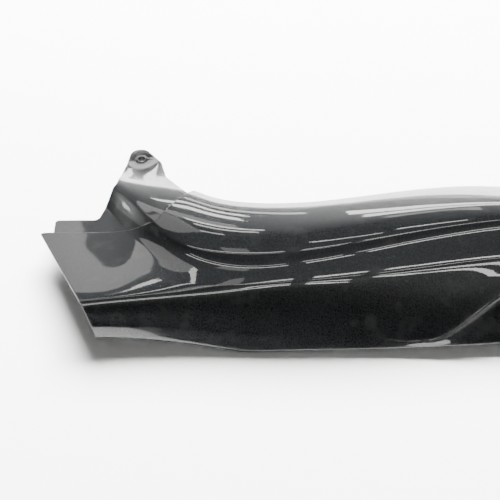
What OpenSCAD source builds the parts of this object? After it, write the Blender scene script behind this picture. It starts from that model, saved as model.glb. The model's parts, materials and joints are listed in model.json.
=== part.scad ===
// Tail fairing panel of a motorcycle: one moulded and painted plastic shell, lying with its outer side up.
// The frame has its origin at the middle of the tab's hole, on the tab's underside, with +X towards the
// tail end, +Y towards the top edge and +Z up.

/* [Panel] */
// Length from the front tip to the tail end
panel_length = 560; // [480:5:640]
// Width from the bottom edge to the top edge at the tail end
panel_width = 200; // [180:1:225]
// Height of the shell over the surface it lies on
panel_height = 76; // [66:1:90]
// Thickness of the moulded wall
wall = 2.5; // [2:0.1:3.2]
// Depth of the return that is turned down along the top edge
skirt_depth = 12; // [9:0.5:14]
// Radius at the corners of the tail end, in plan
tail_radius = 30; // [15:1:45]

/* [Creases] */
// Softness of the top edge where the return turns down
top_fillet = 5; // [4:0.5:8]
// Softness of the crease above the channel
upper_fillet = 6; // [5:0.5:9]
// Softness of the foot of the channel's step
step_fillet = 5; // [4:0.5:7]
// Softness of the creases on both sides of the bevel
bevel_fillet = 4; // [3.5:0.5:6]
// Height that the upper bulge swells over a straight line
bulge_swell = 7; // [3:0.5:10]
// Height that the lower face swells over a straight line
belly_swell = 3; // [0:0.5:6]
// Width of the turned-under hem along the bottom edge
hem_width = 2; // [1.5:0.25:4]

/* [Flange] */
// Depth of the recessed flange under the outer surface
flange_step = 2; // [1.6:0.1:2.4]
// Width of the flange that is hidden under the panel's edge
flange_lap = 7; // [5:0.5:10]
// Softness of the flange's creases
flange_fillet = 1.5; // [1:0.25:3]
// Distance from the front tip to the lip
lip_start = 14; // [10:1:18]
// Length of the lip along the front edge
lip_length = 42; // [36:1:46]
// Width of the lip
lip_width = 18.5; // [12:0.5:22]
// Width that the neck of the tab gains on each side towards the panel
neck_flare = 6; // [3:0.5:9]

/* [Tab] */
// Diameter of the screw hole in the tab
hole_diameter = 6.5; // [5:0.1:8]
// Thickness of the tab
tab_thickness = 3; // [2.6:0.1:4]
// Radius of the tab round its hole
tab_radius = 14; // [11:0.5:18]
// Distance from the front tip to the hole, along the panel
tab_from_tip = 86; // [80:1:92]
// Distance from the bottom edge to the hole, across the panel
tab_from_bottom = 260; // [250:1:270]
// Length of the tab's flat part below its hole
tab_reach = 17; // [13:1:20]
// Rise of the flat part's curved foot at the sides of the tab
tab_sweep = 6; // [2:0.5:8]
// Width of the collar round the hole
collar_width = 2; // [1:0.25:3]
// Height of the collar over the tab
collar_height = 0.5; // [0.3:0.1:1.5]

/* [Hidden side] */
// Diameter of the locating pegs
peg_diameter = 8; // [6:0.5:10]
// Length of the pegs under the channel floor, with their shoulder
peg_length = 20; // [16:1:24]
// Diameter of the shoulder at a peg's root
shoulder_diameter = 12; // [11:0.5:14]
// Height of the shoulder
shoulder_height = 8; // [8:0.5:9]
// Chamfer at a peg's tip
peg_tip = 1.5; // [0.5:0.25:2]
// Width of the gussets at a peg's root
gusset_width = 20; // [16:0.5:22]
// Height of the gussets
gusset_height = 7; // [5:0.5:7.5]
// Thickness of the gussets
gusset_thickness = 1.8; // [1.4:0.1:2.4]
// Height of the ribs under the bulge
rib_height = 6; // [4:0.5:9]
// Thickness of the ribs
rib_thickness = 2; // [1.6:0.1:2.6]

/* [Hidden] */
// Guide lines of the shell, each from the front to the tail: share of the length, of the width and of the
// height, in hundredths. The shell is lofted through them.
TOP_EDGE = [[-3, 119, 17], [10, 114, 19], [16, 109, 24], [20, 104.5, 31], [25, 96, 44], [29, 87.5, 50],
    [33, 82, 54], [39, 79.5, 55.5], [47, 80, 55], [56, 84, 54], [67, 91.5, 48], [79, 97, 38],
    [90, 100, 22], [95, 100, 16], [100, 100, 15]];
UPPER_CREASE = [[-3, 117, 42], [5, 111.5, 39], [10.5, 99, 36.5], [13.5, 88.3, 48], [17, 73.9, 59.6],
    [21, 60, 67.3], [25, 48.6, 73], [30, 41.5, 79], [37, 37.5, 84], [46, 39, 87.5], [56, 44, 90.5],
    [67, 51, 94], [80, 57, 98], [90, 59, 97], [100, 60, 92]];
STEP_FOOT = [[-3, 107.6, 30], [5, 102.5, 27], [10, 92.2, 24.5], [13.5, 79.3, 36], [17, 66, 47.6],
    [21, 53.8, 54.5], [25, 43.2, 60.5], [30, 36, 65], [37, 32, 69], [46, 34, 73], [56, 39, 76],
    [67, 46, 79], [80, 51.5, 83.5], [90, 54, 83], [100, 55, 79]];
BEVEL_TOP = [[-3, 101.3, 22], [4, 98, 21], [9.5, 90, 21], [13.5, 72.3, 31], [17, 57, 45.5],
    [21, 42.9, 54.5], [25, 31.5, 61.7], [30, 25, 66], [37, 23, 69], [46, 24.5, 71], [56, 27.5, 73],
    [67, 32, 75], [80, 37.5, 77], [90, 40, 76], [100, 41, 73]];
BEVEL_FOOT = [[-3, 10, 56], [9, 14, 61], [17, 16, 62], [26, 18, 63.5], [37, 19.8, 66.6],
    [46, 21.2, 69], [56, 23.5, 70.4], [67, 27.8, 72.2], [80, 33.6, 74.5], [90, 37, 74], [100, 38, 71]];
BOTTOM_EDGE = [[-3, 2, 22], [8, 4, 19], [17, 5, 14.5], [27, 3.5, 7.5], [35, 0.8, 0.7],
    [36.5, 0.3, 0.7], [38, 0.2, 0.7], [46, 0.3, 3], [63, 0.2, 8.3], [79, 2, 12], [88, 3.8, 14.5],
    [94, 5, 15.5], [100, 5.5, 16.5]];
// Ledge that leaves the bottom edge and climbs across the lower face: hundredth of the length, hundredth of
// the way from the bevel down to the hem, and its depth in millimetres
LEDGE = [[-3, 75, 0.1], [50, 76, 0.1], [58, 84, 0.1], [63, 93, 0.4], [67.5, 96, 1.6], [71.5, 85, 3],
    [75.5, 64, 3.8], [80, 40, 4.2], [86, 24, 4.4], [100, 16, 4.4]];
// Front edge from the tip to the bottom, and the cut from the tip to the top edge, along which the flange
// is recessed: share of the length and of the width, in hundredths
FRONT_EDGE = [[-1, 64.5], [8.8, 14], [11.3, 4]];
FLANGE_CUT = [[14.6, 65.5], [20.4, 63], [26.7, 90]];
// Places of the two locating pegs and of the ribs, in hundredths of the length
PEG_PLACES = [45, 78];
RIB_PLACES = [38, 56, 74];
HUNDREDTH = [panel_length, panel_width, panel_height] / 100;
tuck_lean = 1.5;
hem_fillet = 1;
ledge_fillet = 4;
margin = 60;
tab_ease = 0.3;
seat_overlap = 3;
arc_steps = 6;
halvings = 18;
first_station = -10;

function bspline(p, u) =
    let (i = max(0, min(floor(u), len(p) - 4)), t = u - i)
    [(1 - t) ^ 3, 3 * t ^ 3 - 6 * t ^ 2 + 4, -3 * t ^ 3 + 3 * t ^ 2 + 3 * t + 1, t ^ 3] / 6
        * [p[i], p[i + 1], p[i + 2], p[i + 3]];
function open_ended(p) =
    let (n = len(p) - 1)
    concat([2 * p[0] - p[1]], p, [2 * p[n] - p[n - 1]]);
function scaled(line) = [for (p = line) [p.x * HUNDREDTH.x, p.y * HUNDREDTH.y, p.z * HUNDREDTH.z]];
function find_u(p, x, low, high, rounds) =
    rounds == 0 ? (low + high) / 2
    : let (middle = (low + high) / 2)
        bspline(p, middle).x < x ? find_u(p, x, middle, high, rounds - 1) : find_u(p, x, low, middle, rounds - 1);
function at(line, x) = let (p = bspline(line, find_u(line, x, 0, len(line) - 3, halvings))) [x, p.y, p.z];

top_line = open_ended(scaled(TOP_EDGE));
upper_line = open_ended(scaled(UPPER_CREASE));
foot_line = open_ended(scaled(STEP_FOOT));
bevel_line = open_ended(scaled(BEVEL_TOP));
low_line = open_ended(scaled(BEVEL_FOOT));
bottom_line = open_ended(scaled(BOTTOM_EDGE));
ledge_line = open_ended([for (p = LEDGE) [p.x * HUNDREDTH.x, p.y / 100, p.z]]);

function unit(v) = v / norm(v);
// Two points that round the corner p of a section off by about d
function corner(before, p, after, d) =
    let (a = min(d, 0.4 * norm(before - p)), b = min(d, 0.4 * norm(after - p)))
    [p + a * unit(before - p), p + b * unit(after - p)];
function swollen(p, q, share, height) = p + (q - p) * share + [0, 0, height];
// Rounds a section's control points off as a run of parabolas, each from one middle to the next
function parabolas(c, steps) =
    let (n = len(c) - 1)
    [
        for (i = [1:n - 1])
            let (a = i == 1 ? c[0] : (c[i - 1] + c[i]) / 2, b = i == n - 1 ? c[n] : (c[i] + c[i + 1]) / 2)
            for (k = [0:(i == n - 1 ? steps : steps - 1)])
                let (t = k / steps) (1 - t) ^ 2 * a + 2 * t * (1 - t) * c[i] + t ^ 2 * b
    ];
function creases(x) =
    let (
        upper = at(upper_line, x),
        foot = at(foot_line, x),
        bevel = at(bevel_line, x),
        low = at(low_line, x),
        bottom = at(bottom_line, x),
        hem = bottom + [0, hem_width / 5, hem_width]
    )
    [upper, foot, bevel, low, hem, bottom];
// The two creases of the channel and the one above it, with their softness
function channel(top, c, soft) = concat(
    corner(top, c[0], c[1], soft[0]),
    corner(c[0], c[1], c[2], soft[1]),
    corner(c[1], c[2], c[3], soft[2])
);
function on_belly(c, share) = swollen(c[3], c[4], share, 4 * belly_swell * share * (1 - share));
function lower_face(x, c) =
    let (
        ledge = at(ledge_line, x),
        share = min(ledge.y, 0.93),
        depth = ledge.z,
        inner = on_belly(c, share),
        outer = inner - [0, depth, depth / 10]
    )
    concat(
        corner(c[2], c[3], c[4], bevel_fillet),
        [on_belly(c, share / 2)],
        [corner(c[3], inner, c[4], ledge_fillet)[0], inner, outer, corner(inner, outer, c[4], ledge_fillet)[1]],
        corner(c[3], c[4], c[5], hem_fillet),
        [c[5]]
    );
function bulge(top, upper) =
    let (height = bulge_swell * norm(upper - top) / (panel_width / 2))
    [swollen(top, upper, 0.3, height), swollen(top, upper, 0.7, height)];
function panel_section(x) =
    let (
        c = creases(x),
        top = at(top_line, x),
        tuck = [x, top.y + tuck_lean, max(0, top.z - skirt_depth)]
    )
    parabolas(concat(
        [tuck],
        corner(tuck, top, c[0], top_fillet),
        bulge(top, c[0]),
        channel(top, c, [upper_fillet, step_fillet, bevel_fillet]),
        lower_face(x, c)
    ), 2);
// Where the tab's flat part ends, in a curve round its hole
function tab_foot_y(x) =
    tab_from_bottom - tab_reach + min(tab_sweep * ((x - tab_from_tip) / tab_radius) ^ 2, 2 * tab_sweep);
// The flange runs on over the same creases, but falls to the tab behind the top line
function flange_section(x) =
    let (
        c = creases(x),
        top = at(top_line, x),
        tab_z = tab_thickness + flange_step - 0.1,
        tab_end = [x, tab_from_bottom + tab_radius / 2, tab_z],
        tab_foot = [x, tab_foot_y(x), tab_z],
        soft = [flange_fillet, flange_fillet, flange_fillet]
    )
    parabolas(concat(
        [tab_end],
        corner(tab_end, tab_foot, top, flange_fillet),
        [top],
        bulge(top, c[0]),
        channel(top, c, soft),
        [c[3]]
    ), 2);
// The stretch of a section under the bulge that a rib follows
function rib_section(x) =
    let (c = creases(x), top = at(top_line, x), tuck = [x, top.y + tuck_lean, top.z - skirt_depth])
    parabolas(concat([corner(tuck, top, c[0], top_fillet)[1]], bulge(top, c[0]),
        [corner(top, c[0], c[1], upper_fillet)[0]]), 3);

// Offsets each point of a net along the net's own normal, by depth to the inside
function inward(net, depth) =
    let (last_i = len(net) - 1, last_j = len(net[0]) - 1)
    [
        for (i = [0:last_i]) [
            for (j = [0:last_j])
                let (
                    along = net[min(i + 1, last_i)][j] - net[max(i - 1, 0)][j],
                    across = net[i][min(j + 1, last_j)] - net[i][max(j - 1, 0)]
                )
                net[i][j] + depth * unit(cross(along, across))
        ]
    ];
function lowered(net, drop) = [for (row = net) [for (p = row) p - [0, 0, drop]]];
// A wall between two nets of the same size
module skin(outer, inner) {
    ni = len(outer);
    nj = len(outer[0]);
    count = ni * nj;
    points = concat([for (row = outer) each row], [for (row = inner) each row]);
    function p(i, j) = i * nj + j;
    faces = concat(
        [for (i = [0:ni - 2]) for (j = [0:nj - 2]) for (f = [
            [p(i, j), p(i + 1, j + 1), p(i, j + 1)],
            [p(i, j), p(i + 1, j), p(i + 1, j + 1)],
            [count + p(i, j), count + p(i, j + 1), count + p(i + 1, j + 1)],
            [count + p(i, j), count + p(i + 1, j + 1), count + p(i + 1, j)]]) f],
        [for (i = [0:ni - 2]) for (f = [
            [p(i, 0), count + p(i + 1, 0), p(i + 1, 0)],
            [p(i, 0), count + p(i, 0), count + p(i + 1, 0)],
            [p(i, nj - 1), p(i + 1, nj - 1), count + p(i + 1, nj - 1)],
            [p(i, nj - 1), count + p(i + 1, nj - 1), count + p(i, nj - 1)]]) f],
        [for (j = [0:nj - 2]) for (f = [
            [p(0, j), count + p(0, j + 1), count + p(0, j)],
            [p(0, j), p(0, j + 1), count + p(0, j + 1)],
            [p(ni - 1, j), count + p(ni - 1, j), count + p(ni - 1, j + 1)],
            [p(ni - 1, j), count + p(ni - 1, j + 1), p(ni - 1, j + 1)]]) f]
    );
    polyhedron(points, faces, convexity = 6);
}
// An outline with its corners rounded off: each point holds its place and its radius
function rounded(points) = [
    for (i = [0:len(points) - 1])
        let (
            n = len(points),
            p = [points[i].x, points[i].y],
            before = points[(i + n - 1) % n],
            after = points[(i + 1) % n],
            u = unit([before.x, before.y] - p),
            v = unit([after.x, after.y] - p),
            half = acos(u * v) / 2,
            r = points[i].z,
            c = p + unit(u + v) * r / sin(half),
            s = p + u * r / tan(half) - c,
            e = p + v * r / tan(half) - c
        )
        each r == 0 ? [p] : [for (k = [0:arc_steps]) c + r * unit(s + (e - s) * k / arc_steps)]
];
function in_plan(share) = [share.x * HUNDREDTH.x, share.y * HUNDREDTH.y];
tip = in_plan(FRONT_EDGE[0]);
cut = [for (share = FLANGE_CUT) in_plan(share)];
tail_top = at(top_line, panel_length - 0.01).y + tuck_lean - 0.2;
tail_bottom = at(bottom_line, panel_length - 0.01).y + 0.2;

// Outline of the painted shell in plan. Past the top and bottom edges it only has to clear them.
module panel_outline() {
    polygon(rounded(concat(
        [for (share = FRONT_EDGE) concat(in_plan(share), [0])],
        [
            [in_plan(FRONT_EDGE[2]).x + 4, -margin, 0],
            [panel_length - 1.5 * tail_radius, -margin, 0],
            [panel_length - 1.5 * tail_radius, tail_bottom, 0],
            [panel_length, tail_bottom, tail_radius],
            [panel_length, tail_top, tail_radius],
            [panel_length - 1.5 * tail_radius, tail_top, 0],
            [panel_length - 1.5 * tail_radius, panel_width + margin, 0],
            [cut[2].x + 2, panel_width + margin, 0],
            [cut[2].x, cut[2].y, 0],
            [cut[1].x, cut[1].y, 4],
            [cut[0].x, cut[0].y, 6],
        ]
    )));
}
// Outline of the flange and the tab in plan, from the lip round the tab and back under the shell
module flange_outline(ease) {
    lip = [tip.x + lip_start, tip.y + lip_width];
    left = tab_from_tip - tab_radius + ease;
    right = tab_from_tip + tab_radius - ease;
    neck_foot = (lip.y + tab_from_bottom) / 2;
    polygon(rounded([
        [lip.x, tip.y - flange_lap, 0],
        [lip.x - 2, lip.y + 3, 4],
        [lip.x + lip_length, lip.y + 5, 7],
        [lip.x + lip_length + neck_flare, lip.y + 5 * neck_flare, tab_radius],
        [left - neck_flare, neck_foot - 6, 12],
        [left - neck_flare / 2, tab_from_bottom - tab_reach + 3, 10],
        [left + 2, tab_from_bottom + tab_radius + 4, tab_radius - 3],
        [right - tab_radius / 2 - 2, tab_from_bottom + tab_radius + 2, tab_radius - 3],
        [right + 1.5 * neck_flare, tab_from_bottom - 5, 8],
        [right + 3 * neck_flare, neck_foot + 12, 12],
        [cut[2].x - 2 * flange_lap, cut[2].y + 6, 12],
        [cut[2].x - 5, cut[2].y - flange_lap, 0],
        [cut[2].x + flange_lap / 2, cut[2].y - 1.5 * flange_lap, 0],
        [cut[1].x + flange_lap, cut[1].y - flange_lap + 2, 0],
        [cut[0].x, cut[0].y - flange_lap, 0]
    ]));
}
// Stations of the sections: close together where the creases turn, and further apart towards the tail
columns = concat(
    [for (x = [first_station:7:0.3 * panel_length]) x],
    [for (k = [1:28]) (0.3 + k * 0.025) * panel_length]
);
module painted_shell() {
    net = [for (x = columns) panel_section(x)];
    intersection() {
        skin(net, inward(net, wall));
        translate([0, 0, -margin])
            linear_extrude(panel_height + 2 * margin)
                panel_outline();
    }
}
module flange() {
    net = [for (x = columns) if (x < cut[2].x + 10) flange_section(x)];
    intersection() {
        skin(lowered(net, flange_step), lowered(net, flange_step + wall));
        translate([0, 0, -margin])
            linear_extrude(panel_height + 2 * margin)
                flange_outline(tab_ease);
    }
}
module tab() {
    reach = 3 * tab_radius;
    linear_extrude(tab_thickness)
        intersection() {
            flange_outline(0);
            polygon(concat(
                [for (x = [tab_from_tip - reach:3:tab_from_tip + reach]) [x, tab_foot_y(x) - seat_overlap]],
                [[tab_from_tip + reach, tab_from_bottom + reach], [tab_from_tip - reach, tab_from_bottom + reach]]
            ));
        }
    translate([tab_from_tip, tab_from_bottom, 0])
        cylinder(h = tab_thickness + collar_height, d = hole_diameter + 2 * collar_width, $fn = 64);
}
// A round peg under the channel floor that locates the panel in a rubber grommet: its shoulder stops the
// grommet, and four gussets brace the shoulder
module locating_peg(x) {
    foot = at(foot_line, x);
    bevel = at(bevel_line, x);
    root = (foot + bevel) / 2 - [0, 0, 0.6 * wall];
    translate(root - [0, 0, peg_length])
        rotate_extrude($fn = 48)
            polygon([[0, 0], [peg_diameter / 2 - peg_tip, 0], [peg_diameter / 2, peg_tip],
                [peg_diameter / 2, peg_length - shoulder_height],
                [shoulder_diameter / 2, peg_length - shoulder_height],
                [shoulder_diameter / 2, peg_length], [0, peg_length]]);
    for (turn = [0, 90])
        translate(root - [0, 0, 0.1 * wall])
            rotate([90, 0, turn])
                translate([0, 0, -gusset_thickness / 2])
                    linear_extrude(gusset_thickness)
                        polygon([[-gusset_width / 2, 0], [-shoulder_diameter / 2 + 1, -gusset_height],
                            [shoulder_diameter / 2 - 1, -gusset_height], [gusset_width / 2, 0]]);
}
module stiffening_rib(x) {
    net = [rib_section(x - rib_thickness / 2), rib_section(x + rib_thickness / 2)];
    skin(lowered(net, wall - 0.5), lowered(net, wall + rib_height));
}
module tail_panel() {
    color("dimgray")
        translate([-tab_from_tip, -tab_from_bottom, 0])
            difference() {
                union() {
                    painted_shell();
                    flange();
                    tab();
                    for (place = PEG_PLACES)
                        locating_peg(place * HUNDREDTH.x);
                    for (place = RIB_PLACES)
                        stiffening_rib(place * HUNDREDTH.x);
                }
                translate([tab_from_tip, tab_from_bottom, -1])
                    cylinder(h = tab_thickness + 4, d = hole_diameter, $fn = 64);
            }
}
tail_panel();
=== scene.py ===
"""Looks of a motorcycle's tail fairing panel: painted shell, flange and screw tab, inner side and light."""
import json
import math

import bpy
import numpy as np
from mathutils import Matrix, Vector
from mathutils.geometry import delaunay_2d_cdt


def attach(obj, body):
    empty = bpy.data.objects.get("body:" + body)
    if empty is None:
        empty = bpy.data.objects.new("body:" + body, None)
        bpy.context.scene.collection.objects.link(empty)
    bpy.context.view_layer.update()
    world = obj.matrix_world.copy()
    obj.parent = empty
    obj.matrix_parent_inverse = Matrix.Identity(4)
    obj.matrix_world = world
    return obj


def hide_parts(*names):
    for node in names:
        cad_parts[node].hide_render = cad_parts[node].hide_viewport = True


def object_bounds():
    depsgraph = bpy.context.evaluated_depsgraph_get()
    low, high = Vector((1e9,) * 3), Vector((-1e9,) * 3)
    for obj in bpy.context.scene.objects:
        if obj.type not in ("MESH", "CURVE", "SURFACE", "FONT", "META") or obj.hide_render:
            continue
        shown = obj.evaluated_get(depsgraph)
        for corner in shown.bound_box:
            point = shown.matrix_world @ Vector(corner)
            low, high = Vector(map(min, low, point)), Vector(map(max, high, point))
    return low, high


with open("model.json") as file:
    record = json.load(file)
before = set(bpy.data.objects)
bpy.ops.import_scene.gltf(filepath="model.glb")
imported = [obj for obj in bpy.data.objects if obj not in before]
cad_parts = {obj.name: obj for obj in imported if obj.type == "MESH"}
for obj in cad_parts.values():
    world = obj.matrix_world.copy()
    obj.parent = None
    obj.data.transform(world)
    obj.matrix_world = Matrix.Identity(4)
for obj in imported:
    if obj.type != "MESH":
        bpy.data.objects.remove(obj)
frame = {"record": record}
cad_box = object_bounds()

MM = 0.001
BODY = "root"

# Driving sizes of the shell, in millimetres, as in the part's source
PANEL_LENGTH = 560.0
PANEL_WIDTH = 200.0
PANEL_HEIGHT = 76.0
WALL = 2.5
SKIRT_DEPTH = 12.0
TAIL_RADIUS = 30.0
TOP_FILLET = 5.0
UPPER_FILLET = 6.0
STEP_FILLET = 5.0
BEVEL_FILLET = 4.0
BULGE_SWELL = 7.0
BELLY_SWELL = 3.0
HEM_WIDTH = 2.0
HEM_FILLET = 1.0
LEDGE_FILLET = 4.0
LEDGE_LIMIT = 0.93
TUCK_LEAN = 1.5
FLANGE_STEP = 2.0
FLANGE_LAP = 7.0
FLANGE_FILLET = 1.5
LIP_START = 14.0
LIP_LENGTH = 42.0
LIP_WIDTH = 18.5
NECK_FLARE = 6.0
HOLE_DIAMETER = 6.5
TAB_THICKNESS = 3.0
TAB_RADIUS = 14.0
TAB_REACH = 17.0
TAB_SWEEP = 6.0
COLLAR_WIDTH = 2.0
COLLAR_HEIGHT = 0.5
PEG_DIAMETER = 8.0
PEG_LENGTH = 20.0
PEG_TIP = 1.5
SHOULDER_DIAMETER = 12.0
SHOULDER_HEIGHT = 8.0
GUSSET_WIDTH = 20.0
GUSSET_HEIGHT = 7.0
GUSSET_THICKNESS = 1.8
GUSSET_EDGE = 1.5
RIB_HEIGHT = 6.0
RIB_THICKNESS = 2.0
# How far below the painted side the inner pieces stop, inside the wall
PEG_COVER = 1.2
RIB_COVER = 0.8
HOLE = np.array([86.0, 260.0, 0.0])

# Guide lines of the shell: share of the length, of the width and of the height, in hundredths.
# The step, the channel and the bevel slope less than the part's own, by up to 7 mm near the tail.
TOP_EDGE = [[-3, 119, 17], [10, 114, 19], [16, 109, 24], [20, 104.5, 31], [25, 96, 44], [29, 87.5, 50],
            [33, 82, 54], [39, 79.5, 55.5], [47, 80, 55], [56, 84, 54], [67, 91.7, 48.3],
            [79, 98.6, 39], [90, 101.5, 23], [95, 101.5, 17], [100, 101.5, 16]]
UPPER_CREASE = [[-3, 117, 42], [5, 111.5, 39], [10.5, 99, 36.5], [13.5, 88.3, 48], [17, 73.9, 59.6],
                [21, 60, 67.3], [25, 48.6, 73], [30, 41.5, 79], [37, 37.5, 84], [46, 39, 87.5],
                [56, 44, 90.5], [67, 51, 93.4], [80, 57, 96.8], [90, 59, 95.9], [100, 60, 91]]
STEP_FOOT = [[-3, 107.6, 30], [5, 102.5, 27], [10, 92.2, 24.5], [13.5, 79.3, 36], [17, 66, 47.6],
             [21, 53.3, 56.2], [25, 42.4, 62.9], [30, 35, 68.3], [37, 30.8, 72.9], [46, 32.7, 77.1],
             [56, 37.7, 80.1], [67, 44.6, 83.4], [80, 50.4, 87.1], [90, 52.8, 86.8], [100, 54, 82.1]]
BEVEL_TOP = [[-3, 101.3, 22], [4, 98, 21], [9.5, 90, 21], [13.5, 72.3, 31], [17, 57, 45.5],
             [21, 42.9, 54.5], [25, 31.3, 62.4], [30, 24.7, 66.9], [37, 22.3, 71.3], [46, 23.1, 75.3],
             [56, 25.9, 77.9], [67, 30.2, 80.7], [80, 35.2, 84.3], [90, 37.5, 84], [100, 39, 79.3]]
BEVEL_FOOT = [[-3, 10, 56], [9, 14, 61], [17, 16, 62], [26, 18, 63.5], [37, 18.7, 67.9],
              [46, 19.7, 71.7], [56, 21.8, 73.6], [67, 25.9, 76.1], [80, 31.2, 80], [90, 34.3, 80.6],
              [100, 35.8, 75.9]]
BOTTOM_EDGE = [[-3, 2, 22], [8, 4, 19], [17, 5, 14.5], [27, 3.5, 7.5], [35, 0.8, 0.7],
               [36.5, 0.3, 0.7], [38, 0.2, 0.7], [46, 0.3, 3], [63, 0.2, 8.3], [79, 2, 12],
               [88, 3.8, 14.5], [94, 5, 15.5], [100, 5.5, 16.5]]
LEDGE = [[-3, 75, 0.1], [50, 76, 0.1], [58, 84, 0.1], [63, 93, 0.4], [67.5, 96, 1.6], [71.5, 85, 3],
         [75.5, 64, 3.8], [80, 40, 4.2], [86, 24, 4.4], [100, 16, 4.4]]
FRONT_EDGE = [[-1, 64.5], [8.8, 14], [11.3, 4]]
FLANGE_CUT = [[14.6, 65.5], [20.4, 63], [26.7, 90]]
RIB_PLACES = [38, 56, 74]
HUNDREDTH = np.array([PANEL_LENGTH, PANEL_WIDTH, PANEL_HEIGHT]) / 100
GUIDE_SAMPLES = 20000

# Paint
PAINT_COLOR = (0.005, 0.006, 0.007, 1)
FLAKE_COLOR = (0.016, 0.018, 0.020, 1)
FLAKE_SCALE = 2600
DUST_COLOR = (0.045, 0.043, 0.040, 1)
SCRATCH_STRETCH = (1, 26, 6)
SCRATCH_TURN = 0.35

# Camera of the photograph: 500 pixels wide, with its focal length in the same pixels
PHOTO_WIDTH = 500
FOCAL_LENGTH = 900
CAMERA_AIM = Vector((0.12297, -0.15689, 0.030))
CAMERA_DISTANCE = 0.9
CAMERA_ELEVATION = math.radians(50)

# Lamps of the room: angle over the camera's side of the floor, width, first and last turn along X, radiance
LAMP_DISTANCE = 4.0
LAMP_CENTRE = Vector((0.18, -0.16, 0.05))
LAMP_GAIN = 1.3
LAMPS = [
    (52.2, 2.2, -24, 1, 10), (52.2, 2.2, 4, 10.5, 11), (57, 2.4, -24, 1, 9), (57, 2.4, 4, 10.5, 11),
    (60, 2.2, 13, 28, 11), (64.8, 2.2, 13, 28, 10),
    (98, 1.6, -38, -1.5, 5), (98, 1.6, 1.5, 7.5, 7), (98, 1.6, 9, 24, 8),
    (103.5, 2.2, -38, -1.5, 8), (103.5, 2.2, 1.5, 7.5, 11), (103.5, 2.2, 9, 24, 12),
    (110, 8, -17, -9, 1.6), (120.5, 1.6, 1, 8, 9), (125, 2.4, 8.5, 14, 10),
    (127, 2.4, -19, -12, 8), (134, 18, -42, -19, 1.6), (148.2, 7.4, -27, -5, 2.2),
    (140, 2.6, -15, -4, 9), (145.5, 2.4, -15, -3, 9),
    (159.5, 2.6, -12, -3, 12), (164.5, 2.2, -12, -2, 11), (171, 3, -6, 1, 5),
    (151, 5, 6, 15, 3), (161, 5, 4, 20, 11), (168, 5, 3, 20, 11),
]
FILL_POWER = 1300.0
FILL_PLACE = (0.35, 1.9, 1.75)
FILL_AIM = (0.15, -0.15, 0)
# Grey of the room by the same angle, for what no lamp covers
ROOM_STOPS = [(0, 0.06), (30, 0.03), (42, 0.14), (50, 0.36), (66, 0.34), (84, 0.12), (115, 0.2),
              (122, 0.11), (136, 0.13), (150, 0.32), (180, 0.7)]


def bspline(points, u):
    """A uniform cubic B-spline through control points, at the array u."""
    i = np.clip(np.floor(u).astype(int), 0, len(points) - 4)
    t = (u - i)[:, None]
    return (
        (1 - t) ** 3 * points[i]
        + (3 * t**3 - 6 * t**2 + 4) * points[i + 1]
        + (-3 * t**3 + 3 * t**2 + 3 * t + 1) * points[i + 2]
        + t**3 * points[i + 3]
    ) / 6


class Guide:
    """A guide line of the shell that is asked for its point at a given x."""

    def __init__(self, shares, units=HUNDREDTH):
        p = np.array(shares, float) * units
        p = np.vstack([2 * p[0] - p[1], p, 2 * p[-1] - p[-2]])
        self.line = bspline(p, np.linspace(0, len(p) - 3 - 1e-9, GUIDE_SAMPLES))

    def __call__(self, x):
        y, z = (np.interp(x, self.line[:, 0], self.line[:, axis]) for axis in (1, 2))
        return np.column_stack([x, y, z])


top_line = Guide(TOP_EDGE)
upper_line = Guide(UPPER_CREASE)
foot_line = Guide(STEP_FOOT)
bevel_line = Guide(BEVEL_TOP)
low_line = Guide(BEVEL_FOOT)
bottom_line = Guide(BOTTOM_EDGE)
ledge_line = Guide(LEDGE, np.array([HUNDREDTH[0], 0.01, 1.0]))


def length(v):
    """The length of each vector, in a last axis of its own."""
    return np.linalg.norm(v, axis=-1, keepdims=True)


def corner(before, p, after, d):
    """Two points that round the corner p of every section off by about d."""
    to_before = before - p
    to_after = after - p
    a = np.minimum(d, 0.4 * length(to_before))
    b = np.minimum(d, 0.4 * length(to_after))
    return [p + a * to_before / length(to_before), p + b * to_after / length(to_after)]


def swollen(p, q, share, height):
    """The point at a share of the way from p to q, lifted by height."""
    lift = np.zeros_like(p)
    lift[:, 2] = height
    return p + (q - p) * share + lift


def bulge(top, upper):
    """Control points of the swollen face under the top edge."""
    height = BULGE_SWELL * length(upper - top)[:, 0] / (PANEL_WIDTH / 2)
    return [swollen(top, upper, 0.3, height), swollen(top, upper, 0.7, height)]


def channel(x, top, upper_soft, step_soft, bevel_soft):
    """Control points of the channel's two creases and of the one above it."""
    upper = upper_line(x)
    foot = foot_line(x)
    bevel = bevel_line(x)
    return (
        corner(top, upper, foot, upper_soft)
        + corner(upper, foot, bevel, step_soft)
        + corner(foot, bevel, low_line(x), bevel_soft)
    )


def on_belly(low, hem, share):
    """The point at a share of the way down the lower face, which swells outwards a little."""
    return swollen(low, hem, share[:, None], 4 * BELLY_SWELL * share * (1 - share))


def lower_face(x):
    """Control points of the lower face with its ledge, from the bevel's foot to the bottom edge."""
    low = low_line(x)
    bottom = bottom_line(x)
    hem = bottom + np.array([0, HEM_WIDTH / 5, HEM_WIDTH])
    ledge = ledge_line(x)
    share = np.minimum(ledge[:, 1], LEDGE_LIMIT)
    inner = on_belly(low, hem, share)
    outer = inner - np.column_stack([np.zeros(len(x)), ledge[:, 2], ledge[:, 2] / 10])
    return (
        corner(bevel_line(x), low, hem, BEVEL_FILLET)
        + [on_belly(low, hem, share / 2), corner(low, inner, hem, LEDGE_FILLET)[0], inner]
        + [outer, corner(inner, outer, hem, LEDGE_FILLET)[1]]
        + corner(low, hem, bottom, HEM_FILLET)
        + [bottom]
    )


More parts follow.
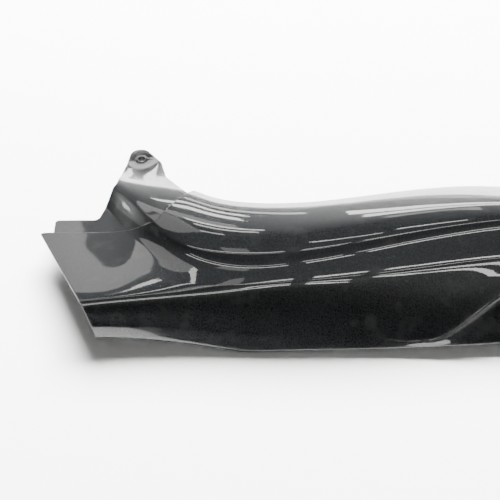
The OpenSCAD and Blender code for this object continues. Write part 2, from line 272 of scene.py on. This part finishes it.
def shell_controls(x):
    """Control points of the painted shell's sections at the array x, from the return to the hem."""
    top = top_line(x)
    upper = upper_line(x)
    tuck = np.column_stack([x, top[:, 1] + TUCK_LEAN, np.maximum(0, top[:, 2] - SKIRT_DEPTH)])
    return (
        [tuck]
        + corner(tuck, top, upper, TOP_FILLET)
        + bulge(top, upper)
        + channel(x, top, UPPER_FILLET, STEP_FILLET, BEVEL_FILLET)
        + lower_face(x)
    )


def flange_controls(x):
    """Control points of the flange's sections: the shell's creases, and a fall to the tab behind them."""
    top = top_line(x)
    tab_z = np.full(len(x), TAB_THICKNESS + FLANGE_STEP)
    sweep = np.minimum(TAB_SWEEP * ((x - HOLE[0]) / TAB_RADIUS) ** 2, 2 * TAB_SWEEP)
    end = np.column_stack([x, np.full(len(x), HOLE[1] + 2 * TAB_RADIUS), tab_z])
    foot = np.column_stack([x, HOLE[1] - TAB_REACH + sweep, tab_z])
    return (
        [end]
        + corner(end, foot, top, FLANGE_FILLET)
        + [top]
        + bulge(top, upper_line(x))
        + channel(x, top, FLANGE_FILLET, FLANGE_FILLET, FLANGE_FILLET)
        + [low_line(x)]
    )


def surface(controls_at, x, v):
    """Points of a sectioned surface at the arrays x and v, where v counts the parabolas of a section."""
    c = np.stack(controls_at(x), axis=1)
    pieces = c.shape[1] - 2
    i = np.clip(np.floor(v).astype(int), 0, pieces - 1)
    t = (v - i)[:, None]
    n = np.arange(len(x))
    before = c[n, i]
    here = c[n, i + 1]
    after = c[n, i + 2]
    a = np.where((i == 0)[:, None], before, (before + here) / 2)
    b = np.where((i == pieces - 1)[:, None], after, (here + after) / 2)
    return (1 - t) ** 2 * a + 2 * t * (1 - t) * here + t**2 * b


def inward_normals(controls_at, x, v, pieces):
    """Unit normals of the surface that point to its inner side."""
    dx = 0.2
    dv = 0.02
    v_low = np.clip(v - dv, 0, pieces)
    v_high = np.clip(v + dv, 0, pieces)
    along = surface(controls_at, x + dx, v) - surface(controls_at, x - dx, v)
    across = surface(controls_at, x, v_high) - surface(controls_at, x, v_low)
    n = np.cross(along, across)
    return n / length(n)


def find_v(controls_at, x, y, pieces):
    """The v at which the section at each x reaches each y: y falls as v grows."""
    low = np.zeros(len(x))
    high = np.full(len(x), float(pieces))
    for _ in range(24):
        middle = (low + high) / 2
        behind = surface(controls_at, x, middle)[:, 1] > y
        low = np.where(behind, middle, low)
        high = np.where(behind, high, middle)
    return (low + high) / 2


def rounded(points, steps=10):
    """An outline with its corners rounded off: each point holds its place and its radius."""
    out = []
    for i, (x, y, r) in enumerate(points):
        p = np.array([x, y])
        if r == 0:
            out.append(p)
            continue
        u = np.array(points[i - 1][:2]) - p
        w = np.array(points[(i + 1) % len(points)][:2]) - p
        u = u / np.linalg.norm(u)
        w = w / np.linalg.norm(w)
        half = math.acos(np.clip(u @ w, -1, 1)) / 2
        centre = p + (u + w) / np.linalg.norm(u + w) * r / math.sin(half)
        start = p + u * r / math.tan(half) - centre
        end = p + w * r / math.tan(half) - centre
        for k in range(steps + 1):
            ray = start + (end - start) * k / steps
            out.append(centre + r * ray / np.linalg.norm(ray))
    return np.array(out)


def resampled(loop, spacing, closed=True):
    """The same line with points at about equal spacing."""
    pts = np.vstack([loop, loop[:1]]) if closed else loop
    run = np.concatenate([[0], np.cumsum(np.linalg.norm(np.diff(pts, axis=0), axis=1))])
    count = max(3, int(run[-1] / spacing))
    s = np.linspace(0, run[-1], count + 1)
    if closed:
        s = s[:-1]
    return np.column_stack([np.interp(s, run, pts[:, 0]), np.interp(s, run, pts[:, 1])])


def inside(polygon, p):
    """Which of the points p lie inside a closed polygon."""
    result = np.zeros(len(p), bool)
    a = polygon
    b = np.roll(polygon, -1, axis=0)
    for (ax, ay), (bx, by) in zip(a, b):
        if ay == by:
            continue
        crosses = (ay > p[:, 1]) != (by > p[:, 1])
        at_x = ax + (p[:, 1] - ay) * (bx - ax) / (by - ay)
        result ^= crosses & (p[:, 0] < at_x)
    return result


def distance_to(line, p):
    """The distance in plan from each point p to an open line."""
    best = np.full(len(p), 1e9)
    for a, b in zip(line[:-1], line[1:]):
        ab = b - a
        t = np.clip(((p - a) @ ab) / (ab @ ab), 0, 1)
        best = np.minimum(best, np.linalg.norm(p - (a + t[:, None] * ab), axis=1))
    return best


def in_plan(share):
    """A place in plan, in millimetres, from its shares of the length and the width."""
    return np.array(share, float) * HUNDREDTH[:2]


tip = in_plan(FRONT_EDGE[0])
cut = [in_plan(share) for share in FLANGE_CUT]
front = [in_plan(share) for share in FRONT_EDGE]
end_x = np.array([PANEL_LENGTH - 0.01])
tail_top = top_line(end_x)[0, 1] + TUCK_LEAN - 0.2
tail_bottom = bottom_line(end_x)[0, 1] + 0.2
MARGIN = 60.0
FIRST_STATION = -10.0


def front_outline():
    """The shell's front edge in plan, from the top edge down to the bottom edge."""
    return rounded(
        [
            (cut[2][0], PANEL_WIDTH + MARGIN, 0),
            (cut[2][0], cut[2][1], 0),
            (cut[1][0], cut[1][1], 4),
            (cut[0][0], cut[0][1], 6),
            (tip[0], tip[1], 1.5),
            (front[1][0], front[1][1], 0),
            (front[2][0], front[2][1], 0),
            (front[2][0] + 4, -MARGIN, 0),
        ]
    )


def tail_x(y):
    """Where the tail end lies at each y: straight, with a rounded corner at each end."""
    r = TAIL_RADIUS
    over = np.clip(y - (tail_top - r), 0, r)
    under = np.clip((tail_bottom + r) - y, 0, r)
    rise = np.maximum(over, under)
    return PANEL_LENGTH - r + np.sqrt(np.maximum(r**2 - rise**2, 0))


def rim_depth(d, radius):
    """How far a surface sinks at the distance d from its rounded edge."""
    near = np.clip(radius - d, 0, radius)
    return radius - np.sqrt(radius**2 - near**2)


def new_piece(name, verts, faces, material, smooth=True):
    """A mesh piece in the shared frame, from points in the panel's millimetres."""
    mesh = bpy.data.meshes.new(name)
    places = (np.asarray(verts) - HOLE) * MM
    mesh.from_pydata(places.tolist(), [], faces)
    mesh.update()
    mesh.shade_smooth() if smooth else mesh.shade_flat()
    piece = bpy.data.objects.new(name, mesh)
    bpy.context.scene.collection.objects.link(piece)
    piece.data.materials.append(material)
    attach(piece, BODY)
    return piece


SHELL_PIECES = len(shell_controls(np.array([100.0]))) - 2
SHELL_STEPS = [9, 5, 14, 14, 5, 5, 5, 5, 5, 5, 5, 5, 14, 12, 5, 5, 14, 4, 4]


def start_of_row(v, outline):
    """The x at which the row v of the shell passes into the outline, going towards the tail."""
    x = np.arange(FIRST_STATION, 175.0, 0.5)
    starts = []
    for value in v:
        p = surface(shell_controls, x, np.full(len(x), value))
        within = inside(outline, p[:, :2])
        starts.append(x[np.nonzero(~within)[0][-1]])
    low = np.array(starts)
    high = low + 0.5
    for _ in range(16):
        middle = (low + high) / 2
        within = inside(outline, surface(shell_controls, middle, v)[:, :2])
        high = np.where(within, middle, high)
        low = np.where(within, low, middle)
    return (low + high) / 2


def end_of_row(v):
    """The x at which the row v of the shell meets the tail end."""
    low = np.full(len(v), PANEL_LENGTH - TAIL_RADIUS - 1.0)
    high = np.full(len(v), PANEL_LENGTH)
    for _ in range(20):
        middle = (low + high) / 2
        within = middle < tail_x(surface(shell_controls, middle, v)[:, 1])
        low = np.where(within, middle, low)
        high = np.where(within, high, middle)
    return (low + high) / 2


def shell_rows(outline):
    """The rows of the shell's mesh, closer together where they meet the front edge at a slant."""
    v = np.concatenate([i + np.arange(n) / n for i, n in enumerate(SHELL_STEPS)] + [[SHELL_PIECES]])
    edge = np.array([0.02, 0.045, 0.08])
    v = np.unique(np.concatenate([v, edge, SHELL_PIECES - edge * 2]))
    x = start_of_row(v, outline)
    for _ in range(7):
        p = surface(shell_controls, x, v)
        gap = np.linalg.norm(np.diff(p, axis=0), axis=1)
        wide = np.nonzero(gap > 2.6)[0]
        if len(wide) == 0 or len(v) > 250:
            break
        middle = (v[wide] + v[wide + 1]) / 2
        v = np.concatenate([v, middle])
        x = np.concatenate([x, start_of_row(middle, outline)])
        order = np.argsort(v)
        v = v[order]
        x = x[order]
    return v, x


def grid_faces(rows, columns, first=0, flip=False):
    """The quads of a grid of points that starts at the index first."""
    faces = []
    for i in range(rows - 1):
        for j in range(columns - 1):
            a = first + i * columns + j
            quad = (a, a + 1, a + columns + 1, a + columns)
            faces.append(quad[::-1] if flip else quad)
    return faces


def painted_shell(material):
    """The shell with its wall: an outer and an inner skin, and a rounded rim between them."""
    line = front_outline()
    beyond = [[PANEL_LENGTH + MARGIN, -MARGIN], [PANEL_LENGTH + MARGIN, PANEL_WIDTH + MARGIN]]
    closed = np.vstack([line, beyond])
    v, x_start = shell_rows(closed)
    x_end = end_of_row(v)
    edge = np.array([0, 0.0005, 0.0011, 0.0019, 0.003])
    middle = np.linspace(0, 1, 150) ** 1.25
    s = np.unique(np.concatenate([edge, 0.0055 + middle * (1 - 0.0055 - 0.003), 1 - edge]))
    rows = len(v)
    columns = len(s)
    x = (x_start[:, None] + (x_end - x_start)[:, None] * s).ravel()
    vv = np.repeat(v, columns)
    p = surface(shell_controls, x, vv)
    n = inward_normals(shell_controls, x, vv, SHELL_PIECES)
    net = p.reshape(rows, columns, 3)
    gaps = np.linalg.norm(np.diff(net, axis=0), axis=2)
    run = np.concatenate([np.zeros((1, columns)), np.cumsum(gaps, axis=0)])
    to_edges = np.minimum(run, run[-1] - run).ravel()
    to_front = distance_to(line, p[:, :2])
    to_tail = np.linalg.norm(net - net[:, -1:], axis=2).ravel()
    d = np.minimum(np.minimum(to_edges, to_front), to_tail)
    outer = p + n * rim_depth(d, 0.9)[:, None]
    inner = p + n * (WALL - rim_depth(d, 0.6))[:, None]
    count = rows * columns
    faces = grid_faces(rows, columns, 0, True) + grid_faces(rows, columns, count, False)
    loop = (
        [j for j in range(columns)]
        + [i * columns + columns - 1 for i in range(1, rows)]
        + [(rows - 1) * columns + j for j in range(columns - 2, -1, -1)]
        + [i * columns for i in range(rows - 2, 0, -1)]
    )
    for a, b in zip(loop, loop[1:] + loop[:1]):
        faces.append((a, b, b + count, a + count))
    return new_piece("painted_shell", np.vstack([outer, inner]), faces, material)


FLANGE_PIECES = len(flange_controls(np.array([100.0]))) - 2


def flange_outline():
    """The outline in plan of the flange and the tab, from the lip round the tab and back under the shell."""
    lip_x = tip[0] + LIP_START
    lip_y = tip[1] + LIP_WIDTH
    left = HOLE[0] - TAB_RADIUS
    right = HOLE[0] + TAB_RADIUS
    neck_foot = (lip_y + HOLE[1]) / 2
    return rounded(
        [
            (lip_x, tip[1] - FLANGE_LAP, 0),
            (lip_x - 2, lip_y + 3, 4),
            (lip_x + LIP_LENGTH, lip_y + 5, 7),
            (lip_x + LIP_LENGTH + NECK_FLARE, lip_y + 5 * NECK_FLARE, TAB_RADIUS),
            (left - NECK_FLARE, neck_foot - 6, 12),
            (left - NECK_FLARE / 2, HOLE[1] - TAB_REACH + 3, 10),
            (left + 2, HOLE[1] + TAB_RADIUS + 3.95, TAB_RADIUS - 3),
            (right - TAB_RADIUS / 2 - 2, HOLE[1] + TAB_RADIUS + 1.95, TAB_RADIUS - 3),
            (right + 1.5 * NECK_FLARE, HOLE[1] - 5, 8),
            (right + 3 * NECK_FLARE, neck_foot + 12, 12),
            (cut[2][0] - 2 * FLANGE_LAP, cut[2][1] + 6, 12),
            (cut[2][0] - 5, cut[2][1] - FLANGE_LAP, 0),
            (cut[2][0] + FLANGE_LAP / 2, cut[2][1] - 1.5 * FLANGE_LAP, 0),
            (cut[1][0] + FLANGE_LAP, cut[1][1] - FLANGE_LAP + 2, 0),
            (cut[0][0], cut[0][1] - FLANGE_LAP, 0),
        ]
    )


def flange_height(x, y):
    """The height of the flange's outer side at each place in plan, with the flat tab and its collar."""
    v = find_v(flange_controls, x, y, FLANGE_PIECES)
    z = surface(flange_controls, x, v)[:, 2] - FLANGE_STEP
    from_hole = np.hypot(x - HOLE[0], y - HOLE[1])
    collar = HOLE_DIAMETER / 2 + COLLAR_WIDTH
    share = np.clip((collar + 0.5 - from_hole) / 0.5, 0, 1)
    return z + COLLAR_HEIGHT * share * share * (3 - 2 * share)


def circle(radius, count):
    """A ring of points in plan round the screw hole."""
    turn = np.arange(count) * 2 * math.pi / count
    return HOLE[:2] + radius * np.column_stack([np.cos(turn), np.sin(turn)])


def shrunk(loop, d):
    """A closed outline moved to its inner side by d, for outlines that run clockwise."""
    along = np.roll(loop, -1, axis=0) - np.roll(loop, 1, axis=0)
    along /= length(along)
    return loop + d * np.column_stack([along[:, 1], -along[:, 0]])


def flange(material):
    """The flange with its lip and tab: a skin over a net of triangles that follows its outline."""
    outline = resampled(flange_outline(), 1.3)
    ahead = np.roll(outline, -1, axis=0)
    area = 0.5 * np.sum(outline[:, 0] * ahead[:, 1] - outline[:, 1] * ahead[:, 0])
    if area > 0:
        outline = outline[::-1]
    hole_r = HOLE_DIAMETER / 2
    collar = hole_r + COLLAR_WIDTH
    loops = [outline, circle(hole_r, 48)]
    rings = [shrunk(outline, d) for d in (0.2, 0.45, 0.8, 1.5)]
    rings += [circle(hole_r + d, 48) for d in (0.15, 0.4, 0.8)]
    rings += [circle(collar + d, 64) for d in (-0.1, 0.1, 0.25, 0.4, 0.6)]
    step = 1.0
    low = outline.min(axis=0)
    high = outline.max(axis=0)
    grid = np.stack(np.meshgrid(np.arange(low[0], high[0], step), np.arange(low[1], high[1], step)), -1)
    grid = grid.reshape(-1, 2)
    closed = np.vstack([outline, outline[:1]])
    from_hole = np.hypot(grid[:, 0] - HOLE[0], grid[:, 1] - HOLE[1])
    keep = inside(outline, grid) & (distance_to(closed, grid) > 2.3)
    keep &= (from_hole > collar + 1.5) | ((from_hole > hole_r + 1.2) & (from_hole < collar - 0.4))
    points = np.vstack(loops + rings + [grid[keep]])
    edges = []
    first = 0
    for loop in loops:
        n = len(loop)
        edges += [(first + k, first + (k + 1) % n) for k in range(n)]
        first += n
    verts, _, faces, _, _, _ = delaunay_2d_cdt([Vector(p) for p in points], edges, [], 1, 1e-6)
    flat = np.array([[v.x, v.y] for v in verts])
    middle = np.array([flat[list(f)].mean(axis=0) for f in faces])
    in_hole = np.hypot(middle[:, 0] - HOLE[0], middle[:, 1] - HOLE[1]) < hole_r * 0.999
    faces = [tuple(f) for f, out in zip(faces, in_hole) if not out]
    z = flange_height(flat[:, 0], flat[:, 1])
    d = distance_to(closed, flat)
    d = np.minimum(d, np.abs(np.hypot(flat[:, 0] - HOLE[0], flat[:, 1] - HOLE[1]) - hole_r))
    outer = np.column_stack([flat, z - rim_depth(d, 0.8)])
    under = np.minimum(z - WALL, np.maximum(z - WALL, 0.0))
    inner = np.column_stack([flat, under + rim_depth(d, 0.5)])
    count = len(flat)
    ups = []
    for f in faces:
        a, b, c = flat[f[0]], flat[f[1]], flat[f[2]]
        up = (b[0] - a[0]) * (c[1] - a[1]) - (b[1] - a[1]) * (c[0] - a[0]) > 0
        ups.append(f if up else f[::-1])
    sides = {}
    for f in ups:
        for a, b in zip(f, f[1:] + f[:1]):
            sides[(a, b)] = True
    rim = [(b, a, a + count, b + count) for (a, b) in sides if (b, a) not in sides]
    down = [tuple(i + count for i in f[::-1]) for f in ups]
    return new_piece("flange_and_tab", np.vstack([outer, inner]), ups + down + rim, material)


def lathe(place, profile, count=48):
    """A closed turned shape round a vertical line: each profile point holds its radius and its height."""
    turn = np.arange(count) * 2 * math.pi / count
    verts = []
    for radius, z in profile:
        ring = np.column_stack([radius * np.cos(turn), radius * np.sin(turn), np.full(count, z)])
        verts.append(ring + [place[0], place[1], 0])
    faces = [tuple(range(count))[::-1]]
    for i in range(len(profile) - 1):
        for j in range(count):
            k = (j + 1) % count
            faces.append((i * count + j, i * count + k, (i + 1) * count + k, (i + 1) * count + j))
    faces.append(tuple((len(profile) - 1) * count + j for j in range(count)))
    return np.vstack(verts), faces


def outer_height(x, y):
    """The height of the painted side above one place in plan."""
    v = find_v(shell_controls, np.array([x]), np.array([y]), SHELL_PIECES)
    return surface(shell_controls, np.array([x]), v)[0, 2]


def gusset(at, side, material, name):
    """A thin web through a peg's shoulder, along X for side 0 and along Y for side 1."""
    half = GUSSET_THICKNESS / 2
    reach = GUSSET_WIDTH / 2
    steps = np.linspace(-reach, reach, 13)
    verts = []
    for t in steps:
        x = at[0] + (t if side == 0 else 0)
        y = at[1] + (t if side == 1 else 0)
        top = outer_height(x, y) - PEG_COVER
        low = top - GUSSET_EDGE - GUSSET_HEIGHT * (1 - abs(t) / reach)
        for d in (-half, half):
            dx = d if side == 1 else 0
            dy = d if side == 0 else 0
            verts += [(x + dx, y + dy, low), (x + dx, y + dy, top)]
    faces = []
    for i in range(len(steps) - 1):
        m = i * 4
        faces += [(m, m + 4, m + 5, m + 1), (m + 2, m + 3, m + 7, m + 6)]
        faces += [(m, m + 2, m + 6, m + 4), (m + 1, m + 5, m + 7, m + 3)]
    n = (len(steps) - 1) * 4
    faces += [(0, 1, 3, 2), (n, n + 2, n + 3, n + 1)]
    new_piece(name, verts, faces, material, False)


def peg(mount, material):
    """A fixing peg with its shoulder and its crossed gussets, at the place that the record gives it."""
    at = np.array(mount["pos_m"]) / MM + HOLE
    root = at[2] + (PEG_LENGTH - PEG_TIP - SHOULDER_HEIGHT) / 2 + SHOULDER_HEIGHT
    end = root - PEG_LENGTH
    base = root - SHOULDER_HEIGHT
    wall = outer_height(at[0], at[1]) - PEG_COVER
    r = PEG_DIAMETER / 2
    big = SHOULDER_DIAMETER / 2
    profile = [
        (r - PEG_TIP, end), (r, end + PEG_TIP), (r, base - 0.6), (r + 0.25, base - 0.15),
        (r + 0.6, base), (big - 0.4, base), (big, base + 0.4), (big, wall),
    ]
    verts, faces = lathe(at, profile)
    new_piece(mount["name"], verts, faces, material, False)
    for side in (0, 1):
        gusset(at, side, material, mount["name"] + "_gusset")


def rib(place, material):
    """A low stiffening rib across the inner side, at a share of the length in hundredths."""
    x = place * HUNDREDTH[0]
    v = np.linspace(4.2, SHELL_PIECES - 2.5, 90)
    verts = []
    for dx in (-RIB_THICKNESS / 2, RIB_THICKNESS / 2):
        xx = np.full(len(v), x + dx)
        p = surface(shell_controls, xx, v)
        n = inward_normals(shell_controls, xx, v, SHELL_PIECES)
        n[:, 0] = 0
        n /= length(n)
        taper = np.clip(np.minimum(v - v[0], v[-1] - v) / 0.8, 0.02, 1)[:, None]
        verts += [p + n * (WALL - RIB_COVER), p + n * (WALL + (RIB_HEIGHT - 1) * taper)]
    count = len(v)
    faces = []
    for j in range(count - 1):
        for a, b in ((0, 1), (1, 3), (3, 2), (2, 0)):
            faces.append((a * count + j, a * count + j + 1, b * count + j + 1, b * count + j))
    faces.append((0, count, 3 * count, 2 * count))
    last = count - 1
    faces.append((last, 2 * count + last, 3 * count + last, count + last))
    new_piece("rib", np.vstack(verts), faces, material, False)


def noise(nodes, links, place, scale, detail):
    """A noise texture at the place that a socket gives."""
    node = nodes.new("ShaderNodeTexNoise")
    node.inputs["Scale"].default_value = scale
    node.inputs["Detail"].default_value = detail
    links.new(place, node.inputs["Vector"])
    return node.outputs["Fac"]


def span(nodes, links, value, low, high, to_low, to_high):
    """The value's range from low to high, turned into the range from to_low to to_high."""
    node = nodes.new("ShaderNodeMapRange")
    node.inputs["From Min"].default_value = low
    node.inputs["From Max"].default_value = high
    node.inputs["To Min"].default_value = to_low
    node.inputs["To Max"].default_value = to_high
    links.new(value, node.inputs["Value"])
    return node.outputs["Result"]


def bump(nodes, links, height, strength, depth):
    """A bump of the given depth in metres."""
    node = nodes.new("ShaderNodeBump")
    node.inputs["Strength"].default_value = strength
    node.inputs["Distance"].default_value = depth
    links.new(height, node.inputs["Height"])
    return node


def color_mix(nodes, links, share, color):
    """A mix towards the second colour by share; the first one is set by the caller."""
    node = nodes.new("ShaderNodeMix")
    node.data_type = "RGBA"
    node.inputs["B"].default_value = color
    links.new(share, node.inputs["Factor"])
    return node


def gloss_paint():
    """Dark grey metallic paint with fine flakes under a clear coat that has slight waves, wear and dust."""
    material = bpy.data.materials.new("grey_metallic_paint")
    material.use_nodes = True
    nodes = material.node_tree.nodes
    links = material.node_tree.links
    shader = nodes["Principled BSDF"]
    place = nodes.new("ShaderNodeTexCoord").outputs["Object"]

    # Colour: flakes, with a film of dust over them
    flakes = nodes.new("ShaderNodeTexVoronoi")
    flakes.inputs["Scale"].default_value = FLAKE_SCALE
    links.new(place, flakes.inputs["Vector"])
    dark = color_mix(nodes, links, span(nodes, links, flakes.outputs["Color"], 0.2, 0.9, 0, 1), FLAKE_COLOR)
    dark.inputs["A"].default_value = PAINT_COLOR
    dust = noise(nodes, links, place, 55, 8)
    film = color_mix(nodes, links, span(nodes, links, dust, 0.56, 0.8, 0, 0.3), DUST_COLOR)
    links.new(dark.outputs["Result"], film.inputs["A"])
    links.new(film.outputs["Result"], shader.inputs["Base Color"])
    shader.inputs["Metallic"].default_value = 0.8
    links.new(span(nodes, links, dust, 0.4, 0.75, 0.34, 0.44), shader.inputs["Roughness"])

    # Clear coat: worn in patches, and dulled by fine scratches that run one way
    shader.inputs["Coat Weight"].default_value = 1.0
    shader.inputs["Coat IOR"].default_value = 1.55
    wear = noise(nodes, links, place, 16, 10)
    stretch = nodes.new("ShaderNodeMapping")
    stretch.inputs["Scale"].default_value = SCRATCH_STRETCH
    stretch.inputs["Rotation"].default_value = (0, 0, SCRATCH_TURN)
    links.new(place, stretch.inputs["Vector"])
    scratches = noise(nodes, links, stretch.outputs["Vector"], 60, 6)
    dulled = nodes.new("ShaderNodeMath")
    dulled.operation = "ADD"
    links.new(span(nodes, links, wear, 0.4, 0.8, 0.01, 0.06), dulled.inputs[0])
    links.new(span(nodes, links, scratches, 0.66, 0.72, 0, 0.14), dulled.inputs[1])
    links.new(dulled.outputs[0], shader.inputs["Coat Roughness"])

    # Slight waves of the moulding, with the paint's orange peel on the coat
    waves = bump(nodes, links, noise(nodes, links, place, 26, 2), 0.12, 0.0006)
    peel = bump(nodes, links, noise(nodes, links, place, 420, 2), 0.12, 0.00006)
    links.new(waves.outputs["Normal"], peel.inputs["Normal"])
    links.new(peel.outputs["Normal"], shader.inputs["Coat Normal"])
    links.new(waves.outputs["Normal"], shader.inputs["Normal"])
    return material


def bare_plastic():
    """The dull black moulded plastic of the inner side."""
    material = bpy.data.materials.new("bare_black_plastic")
    material.use_nodes = True
    nodes = material.node_tree.nodes
    links = material.node_tree.links
    shader = nodes["Principled BSDF"]
    place = nodes.new("ShaderNodeTexCoord").outputs["Object"]
    grain = noise(nodes, links, place, 900, 4)
    shader.inputs["Base Color"].default_value = (0.022, 0.022, 0.023, 1)
    links.new(span(nodes, links, grain, 0.3, 0.7, 0.48, 0.62), shader.inputs["Roughness"])
    links.new(bump(nodes, links, grain, 0.3, 0.0001).outputs["Normal"], shader.inputs["Normal"])
    return material


def tube(index, angle, width, first, last, radiance):
    """A lamp along X at one angle over the floor, far enough away to show as one clear line in the paint."""
    turn = math.radians(angle)
    start = LAMP_DISTANCE * math.tan(math.radians(first))
    end = LAMP_DISTANCE * math.tan(math.radians(last))
    light = bpy.data.lights.new(f"tube_{index}", "AREA")
    light.shape = "RECTANGLE"
    light.size = end - start
    light.size_y = LAMP_DISTANCE * 2 * math.tan(math.radians(width / 2))
    light.energy = LAMP_GAIN * radiance * math.pi * light.size * light.size_y
    light.color = (1.0, 0.985, 0.96)
    lamp = bpy.data.objects.new(light.name, light)
    out = Vector((0, -math.cos(turn), math.sin(turn)))
    lamp.location = LAMP_CENTRE + out * LAMP_DISTANCE + Vector(((start + end) / 2, 0, 0))
    lamp.rotation_euler = (math.pi / 2 - turn, 0, 0)
    lamp.visible_diffuse = False
    bpy.context.scene.collection.objects.link(lamp)


def fill_lamp():
    """A wide soft lamp that brightens the floor and never shows in the gloss."""
    light = bpy.data.lights.new("fill", "AREA")
    light.shape = "RECTANGLE"
    light.size = 2.4
    light.size_y = 1.2
    light.energy = FILL_POWER
    light.color = (1.0, 0.99, 0.975)
    lamp = bpy.data.objects.new("fill", light)
    lamp.location = FILL_PLACE
    lamp.rotation_euler = (Vector(FILL_AIM) - lamp.location).to_track_quat("-Z", "Y").to_euler()
    lamp.visible_glossy = False
    bpy.context.scene.collection.objects.link(lamp)


def ground(name, low, high, z, color, roughness):
    """A flat rectangle of the stage."""
    mesh = bpy.data.meshes.new(name)
    corners = [(low[0], low[1], z), (high[0], low[1], z), (high[0], high[1], z), (low[0], high[1], z)]
    mesh.from_pydata(corners, [], [(0, 1, 2, 3)])
    piece = bpy.data.objects.new(name, mesh)
    bpy.context.scene.collection.objects.link(piece)
    material = bpy.data.materials.new(name)
    material.use_nodes = True
    shader = material.node_tree.nodes["Principled BSDF"]
    shader.inputs["Base Color"].default_value = color
    shader.inputs["Roughness"].default_value = roughness
    mesh.materials.append(material)


def floor():
    """A white sheet that fills the picture, on a darker floor that shows low in the paint."""
    z = cad_box[0][2]
    ground("white_sheet", (-1.6, -1.3), (1.8, 0.36), z, (0.92, 0.92, 0.92, 1), 0.7)
    ground("floor_beyond", (-4, -4), (4, 4), z - 0.002, (0.12, 0.12, 0.12, 1), 0.8)


def camera():
    """The photograph's camera."""
    data = bpy.data.cameras.new("camera")
    data.sensor_width = 36.0
    data.lens = data.sensor_width * FOCAL_LENGTH / PHOTO_WIDTH
    data.clip_start = 0.01
    eye = bpy.data.objects.new("camera", data)
    away = Vector((0, -math.cos(CAMERA_ELEVATION), math.sin(CAMERA_ELEVATION)))
    eye.location = CAMERA_AIM + away * CAMERA_DISTANCE
    eye.rotation_euler = (-away).to_track_quat("-Z", "Y").to_euler()
    bpy.context.scene.collection.objects.link(eye)
    bpy.context.scene.camera = eye


def world_light():
    """The room: dark on the camera's side, mid grey overhead and lighter low on the far side."""
    world = bpy.data.worlds.new("room")
    bpy.context.scene.world = world
    world.use_nodes = True
    nodes = world.node_tree.nodes
    links = world.node_tree.links
    space = nodes.new("ShaderNodeTexCoord")
    split = nodes.new("ShaderNodeSeparateXYZ")
    links.new(space.outputs["Generated"], split.inputs["Vector"])
    turn = nodes.new("ShaderNodeMath")
    turn.operation = "ARCTAN2"
    flip = nodes.new("ShaderNodeMath")
    flip.operation = "MULTIPLY"
    flip.inputs[1].default_value = -1
    links.new(split.outputs["Y"], flip.inputs[0])
    links.new(split.outputs["Z"], turn.inputs[0])
    links.new(flip.outputs[0], turn.inputs[1])
    ramp = nodes.new("ShaderNodeValToRGB")
    links.new(span(nodes, links, turn.outputs[0], 0, math.pi, 0, 1), ramp.inputs["Fac"])
    ramp.color_ramp.elements[0].position = ROOM_STOPS[0][0] / 180
    ramp.color_ramp.elements[0].color = (ROOM_STOPS[0][1],) * 3 + (1,)
    ramp.color_ramp.elements[1].position = ROOM_STOPS[-1][0] / 180
    ramp.color_ramp.elements[1].color = (ROOM_STOPS[-1][1],) * 3 + (1,)
    for angle, grey in ROOM_STOPS[1:-1]:
        stop = ramp.color_ramp.elements.new(angle / 180)
        stop.color = (grey, grey, grey * 0.97, 1)
    links.new(ramp.outputs["Color"], nodes["Background"].inputs["Color"])
    nodes["Background"].inputs["Strength"].default_value = 1.0


camera()
world_light()
floor()
paint = gloss_paint()
shell = painted_shell(paint)
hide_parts("tail_panel")
flange(paint)
bare = bare_plastic()
for mount in frame["record"]["mounts"]:
    if mount["kind"] == "pin":
        peg(mount, bare)
for place in RIB_PLACES:
    rib(place, bare)
for index, lamp in enumerate(LAMPS):
    tube(index, *lamp)
fill_lamp()
